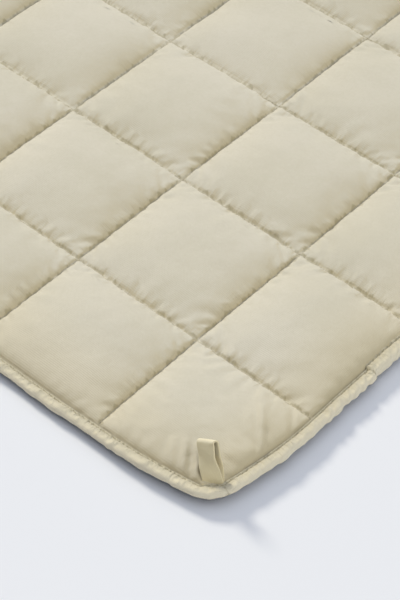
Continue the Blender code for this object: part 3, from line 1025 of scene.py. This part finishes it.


def sewn_detail(material, flat, near, pucker, reach, crease_width):
    """The height of the finest puckers, and how much painted crease shade a point takes, from 0 to 1.
    """
    cell = add_node(material, "VectorMath", {"operation": "SCALE", 0: flat, "Scale": 1 / PITCH})
    cell = add_node(material, "VectorMath", {"operation": "FLOOR", 0: cell})
    height, painted_crease = 0.0, 0.0
    for axis, stretch in enumerate(((DRAWN_OUT, 1, 1), (1, DRAWN_OUT, 1))):
        away = add_node(material, "SeparateXYZ", {0: near}, axis)
        place = add_node(material, "VectorMath", {"operation": "MULTIPLY", 0: flat, 1: stretch})
        place = add_node(material, "VectorMath",
                         {"operation": "MULTIPLY_ADD", 0: cell, 1: (0.37, 0.53, 0), 2: place})
        streak = add_node(material, "TexNoise",
                          {"Scale": 1 / pucker, "Detail": 2.0, "Roughness": 0.55, "Vector": place})
        streak = add_node(material, "Math", {"operation": "SUBTRACT", 0: streak, 1: 0.5})
        fade = add_node(material, "MapRange", {**FALL, "Value": away, "From Max": reach})
        height = add_node(material, "Math",
                          {"operation": "MULTIPLY_ADD", 0: streak, 1: fade, 2: height})
        ragged = add_node(material, "Math",
                          {"operation": "MULTIPLY_ADD", 0: streak, 1: crease_width * 5, 2: away})
        deep = add_node(material, "MapRange", {**FALL, "Value": ragged, "From Max": crease_width})
        painted_crease = add_node(material, "Math", {"operation": "MAXIMUM", 0: deep, 1: painted_crease})
    # Painted shade in the crease beside the binding, in patches
    edge = add_node(material, "SeparateXYZ", {0: near}, 2)
    edge = add_node(material, "MapRange", {**FALL, "Value": edge, "From Max": BINDING_SHADE_REACH})
    shade_patches = add_node(material, "TexNoise",
                       {"Scale": 1 / BINDING_SHADE_PATCH, "Detail": 1.0, "Roughness": 0.55, "Vector": flat})
    shade_patches = add_node(material, "MapRange", {
        **RISE, "Value": shade_patches, "From Min": 0.35, "From Max": 0.65,
        "To Min": 0.35 * BINDING_SHADE_SHARE, "To Max": BINDING_SHADE_SHARE,
    })
    edge = add_node(material, "Math", {"operation": "MULTIPLY", 0: edge, 1: shade_patches})
    return height, add_node(material, "Math", {"operation": "MAXIMUM", 0: painted_crease, 1: edge})


# %% [markdown]
# ## Cotton, plain woven, with painted shade
#
# The cover is a plain-woven cotton in natural ecru. It is matt, because its fibres scatter light
# every way, with a faint sheen from the loose ones. Its threads are about 0.25 mm apart, far
# too fine to show at this distance, so they are drawn 1.2 mm apart. The colour varies a
# little, as undyed cotton does. Shade is painted into the colour too: cloth that slopes away
# from the key light is painted deeper and yellower, and so is the cloth near the edge, as
# painted shade beside the binding. Cloth has a refractive index near 1.5 and is very rough.
#
# The binding is the same cotton, painted paler over its roll as a painted highlight. The loops
# are a woven tape of it, and the thread is spun cotton, mercerised to take a little gloss. The
# underside gets no light from the room, and it is drawn in the deep tone of a fold that never sees
# any.

# %% Cotton
TOWARDS_KEY_LIGHT = (-0.80, 0.16, 0.58)  # roughly towards the key light; cloth that turns away from it takes painted shade
UNSHADED_SLOPE = 0.62  # the slope towards the key light from which the cloth has no painted shade
WAVE_REPEAT = 0.314  # metres from band to band in a Wave texture of scale 1
MOTTLE = 1 / 14  # undyed cotton changes its tone over some seven centimetres
FLECK_SHARE = 0.45  # how much of the tone goes from thread to thread
TONES = 0.40, 1.05  # the noise that gives the dark tone and the one that gives the light
WRINKLE_DEPTH, WEAVE_HEIGHT = 0.0012, 0.0003
EDGE_SHADE_INWARDS, EDGE_SHADE_SHARE = 0.055, 0.4  # how far in from the edge the painted shade beside the binding reaches, and its share at the edge
ROLL_HIGHLIGHT_SPAN = 0.0035, 0.0085  # where the binding's roll is painted paler as a highlight, from its lip outwards
UNDERNEATH = -0.42, -0.12  # slopes downwards that get no light from the room
# Painted shade: near-black for cloth that faces the floor, olive for the creases
SHADED, CREASE_SHADE = "#3f3a30", "#8f8359"


def cotton(name, light, dark, deep, thread, wrinkle_size, weave_depth, sewn=None, roll_highlight=None):
    """A woven cotton. thread is the drawn thread spacing; the last colour, if any, is painted along
    the binding's roll as a highlight.
    """
    material = new_material(name)
    where = add_node(material, "TexCoord", output="Object")
    warp, weft = (
        add_node(material, "TexWave", {
            "bands_direction": way, "Scale": WAVE_REPEAT / thread,
            "Distortion": 0.6, "Detail": 1.0, "Detail Scale": 2.0, "Vector": where,
        }, "Fac")
        for way in "XY"
    )
    weave = add_node(material, "Math", {"operation": "MULTIPLY", 0: warp, 1: weft})
    flecks, mottle, wrinkles = (
        add_node(material, "TexNoise",
                 {"Scale": 1 / size, "Detail": detail, "Roughness": 0.55, "Vector": where})
        for size, detail in ((2 * thread, 2.0), (MOTTLE, 4.0), (wrinkle_size, 3.0))
    )
    tone = add_node(material, "Math",
                    {"operation": "MULTIPLY_ADD", 0: flecks, 1: FLECK_SHARE, 2: mottle})

    normal = add_node(material, "Bump",
                      {"Strength": 0.35, "Distance": WRINKLE_DEPTH, "Height": wrinkles})
    if sewn:
        flat, near = (
            add_node(material, "Attribute", {"attribute_name": kept}, "Vector")
            for kept in ("flat", "to seam")
        )
        height, painted_crease = sewn_detail(material, flat, near, *sewn[:3])
        normal = add_node(material, "Bump", {"Distance": sewn[3], "Height": height, "Normal": normal})
    woven = add_node(material, "Bump", {
        "Strength": weave_depth, "Distance": WEAVE_HEIGHT, "Height": weave, "Normal": normal,
    })

    # What is laid over the dark tone: a value, where it begins and ends, its shares, its colour
    # Painted shade: the more a slope turns away from the key light, the more of the deep colour
    facing_key = add_node(material, "VectorMath",
                       {"operation": "DOT_PRODUCT", 0: normal, 1: TOWARDS_KEY_LIGHT}, "Value")
    layers = [(tone, *TONES, 0.0, 1.0, light), (facing_key, 0.0, UNSHADED_SLOPE, 1.0, 0.0, deep)]
    # Painted highlight: the binding's roll takes the paler colour from its lip outwards
    if roll_highlight:
        far = add_node(material, "SeparateXYZ", {0: flat}, 0)
        layers.append((far, *ROLL_HIGHLIGHT_SPAN, 0.0, 1.0, roll_highlight))
    # On the quilt, painted shade beside the binding: the deep colour near the edge
    elif sewn:
        edge = add_node(material, "SeparateXYZ", {0: near}, 2)
        layers.append((edge, 0.0, EDGE_SHADE_INWARDS, EDGE_SHADE_SHARE, 0.0, deep))
    up = add_node(material, "SeparateXYZ", {0: normal}, 2)
    layers.append((up, *UNDERNEATH, 0.95, 0.0, SHADED))
    colour = dark
    for value, begin, end, low, high, over in layers:
        share = add_node(material, "MapRange", {
            **RISE, "Value": value, "From Min": begin, "From Max": end, "To Min": low, "To Max": high,
        })
        colour = add_node(material, "Mix",
                          {"data_type": "RGBA", 0: share, FIRST: colour, SECOND: over}, MIXED)
    # Painted shade in the creases: at the thread, beside the binding, at the lap and the pleat
    if sewn:
        share = add_node(material, "Math", {"operation": "MULTIPLY", 0: painted_crease, 1: sewn[4]})
        colour = add_node(material, "Mix",
                          {"data_type": "RGBA", 0: share, FIRST: colour, SECOND: CREASE_SHADE}, MIXED)
    shader = add_node(material, "BsdfPrincipled", {
        "Roughness": 0.9, "IOR": 1.5, "Specular IOR Level": 0.25, "Sheen Weight": 0.3,
        "Sheen Roughness": 0.5, "Base Color": colour, "Normal": woven,
    })
    add_node(material, "OutputMaterial", {"Surface": shader})
    return material


# What the sewn tuples hold: pucker spacing, reach of the puckers, width of the crease's
# painted shade, depth of the puckers, darkness of the painted crease shade
QUILT_SEWN = (0.0045, 0.011, 0.0017, 0.0012, 0.42)
BINDING_SEWN = (0.0026, 0.011, 0.0006, 0.0020, 0.35)
# The third colour of each cotton is the deep colour of its painted shade
quilt_cotton = cotton("ecru cotton, plain woven, painted with shade", "#dad4c2", "#d1cbb6", "#d5c8a5",
                      0.0012, 0.011, 0.35, QUILT_SEWN)
# Its last colour is the painted highlight along the roll
binding_cotton = cotton("ecru cotton binding, folded and sewn", "#d2cab1", "#c7bfa4", "#c9c0a2",
                        0.0009, 0.005, 0.35, BINDING_SEWN, "#eae0c3")
tape_cotton = cotton("ecru cotton tape, twill woven", "#efe6c8", "#e9dfbd", "#e9dbb0",
                     0.0009, 0.006, 0.15)
thread_cotton = cotton("ecru sewing thread, spun and mercerised", "#cfc7af", "#c6bda2", "#b5a986",
                       0.0006, 0.004, 0.2)

for material, wearers in (
    (quilt_cotton, [quilt]),
    (binding_cotton, [binding]),
    (tape_cotton, loops),
    (thread_cotton, [top_thread, under_thread, binding_thread]),
):
    for piece in wearers:
        piece.data.materials.append(material)
print("materials:", ", ".join(sorted(m.name for m in bpy.data.materials)))

# %% [markdown]
# ## What each piece stands for
#
# Each soft CAD solid is replaced by its dressed piece, which rides on the one body that the blanket
# is.

for piece, node, finish in (
    (quilt, "quilt", "quilt_cotton"),
    (binding, "edge_binding", "binding_cotton"),
    *[(loop, f"corner_loop_{k}", "loop_tape") for k, loop in enumerate(loops, start=1)],
):
    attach(piece, "root")
    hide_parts(node)
for piece, finish in (
    (top_thread, "quilt_cotton"), (under_thread, "quilt_cotton"), (binding_thread, "binding_cotton"),
):
    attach(piece, "root")

# %% [markdown]
# ## The floor
#
# A plain pale floor in matt paint, large enough that no edge of it shows. It lies a millimetre
# below the blanket's own, which leaves the narrow dark gap that soft edges have on a hard floor.

# %% Floor
floor = make_piece("floor", [(-30, -30, 0), (30, -30, 0), (30, 30, 0), (-30, 30, 0)], [(0, 1, 2, 3)])
paint = new_material("white floor, matt painted")
shader = add_node(paint, "BsdfPrincipled", {"Base Color": "#eceef2", "Roughness": 0.85})
add_node(paint, "OutputMaterial", {"Surface": shader})
floor.data.materials.append(paint)
floor.location.z = -0.0010
floor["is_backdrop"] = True

# %% [markdown]
# ## Light
#
# A low, broad key light from the blanket's far left draws every swell and pucker. A bright, faintly
# blue room fills the shadows, brightest on the right. Two dark screens stand low in the room.
# The near one lets the gap below the blanket's near edge go almost black, and the far one
# keeps the far slopes of the cells from glaring.

# %% Lights
key_light = bpy.data.lights.new("key", "SUN")
key_light.energy = 2.18
key_light.angle = math.radians(12)
key_light.color = linear("#fff8e7")[:3]
key = bpy.data.objects.new("key", key_light)
key.rotation_euler = Vector((0.82, -0.21, -0.53)).to_track_quat("-Z", "Y").to_euler()
bpy.context.collection.objects.link(key)

room = bpy.data.worlds.new("bright room")
room.use_nodes = True
background = room.node_tree.nodes["Background"]
background.inputs["Strength"].default_value = 1.34
way = add_node(room, "TexCoord", output="Generated")
across, along, up = (add_node(room, "SeparateXYZ", {0: way}, axis) for axis in range(3))
towards = add_node(room, "VectorMath",
                   {"operation": "DOT_PRODUCT", 0: way, 1: (-0.36, -0.93, 0)}, "Value")
screens = []  # what each faces, where its side begins and is full, its height's fade, its darkness
for facing, begin, end, low, high, darkness in (
    (towards, -0.05, 0.40, 0.42, 1.0, 1.0),
    (along, 0.1, 0.6, 0.25, 0.95, 0.95),
):
    side = add_node(room, "MapRange",
                    {**RISE, "Value": facing, "From Min": begin, "From Max": end})
    height = add_node(room, "MapRange", {
        **FALL, "Value": up, "From Min": low, "From Max": high, "To Min": darkness,
    })
    screens.append(add_node(room, "Math", {"operation": "MULTIPLY", 0: side, 1: height}))
screen = add_node(room, "Math", {"operation": "MAXIMUM", 0: screens[0], 1: screens[1]})
right = add_node(room, "MapRange",
                 {**RISE, "Value": across, "From Min": 0.1, "From Max": 0.8})
wall = add_node(room, "Mix",
                {"data_type": "RGBA", 0: right, FIRST: "#cbd0da", SECOND: "#fafcff"}, MIXED)
seen = add_node(room, "Mix",
                {"data_type": "RGBA", 0: screen, FIRST: wall, SECOND: "#1c1724"}, MIXED)
room.node_tree.links.new(seen, background.inputs["Color"])
bpy.context.scene.world = room
bpy.context.scene.view_settings.view_transform = "Standard"

# %% [markdown]
# ## The camera
#
# A long lens looks down at one corner from the side.

# %% Camera
eye = bpy.data.cameras.new("camera")
eye.lens, eye.sensor_width = 112.2, 36
eye.clip_start, eye.clip_end = 0.05, 100
camera = bpy.data.objects.new("camera", eye)
right = Vector((0.752506, 0.657511, 0.03761))
down = Vector((0.505578, -0.540139, -0.672786))
ahead = Vector((-0.422049, 0.52529, -0.738881))
camera.matrix_world = Matrix.Translation((0.971163, -1.385867, 0.868690)) @ Matrix(
    (right, -down, -ahead)
).transposed().to_4x4()
bpy.context.collection.objects.link(camera)
bpy.context.scene.camera = camera

# %% [markdown]
# ## Finish
#
# The boxes of the CAD model and of the dressed one are written side by side, to be compared.

# %% Sizes and finish
seen_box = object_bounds()
for name, box in (("CAD", cad_box), ("dressed", seen_box)):
    print(name, "box in mm:", [round(c / MM, 1) for corner in box for c in corner])
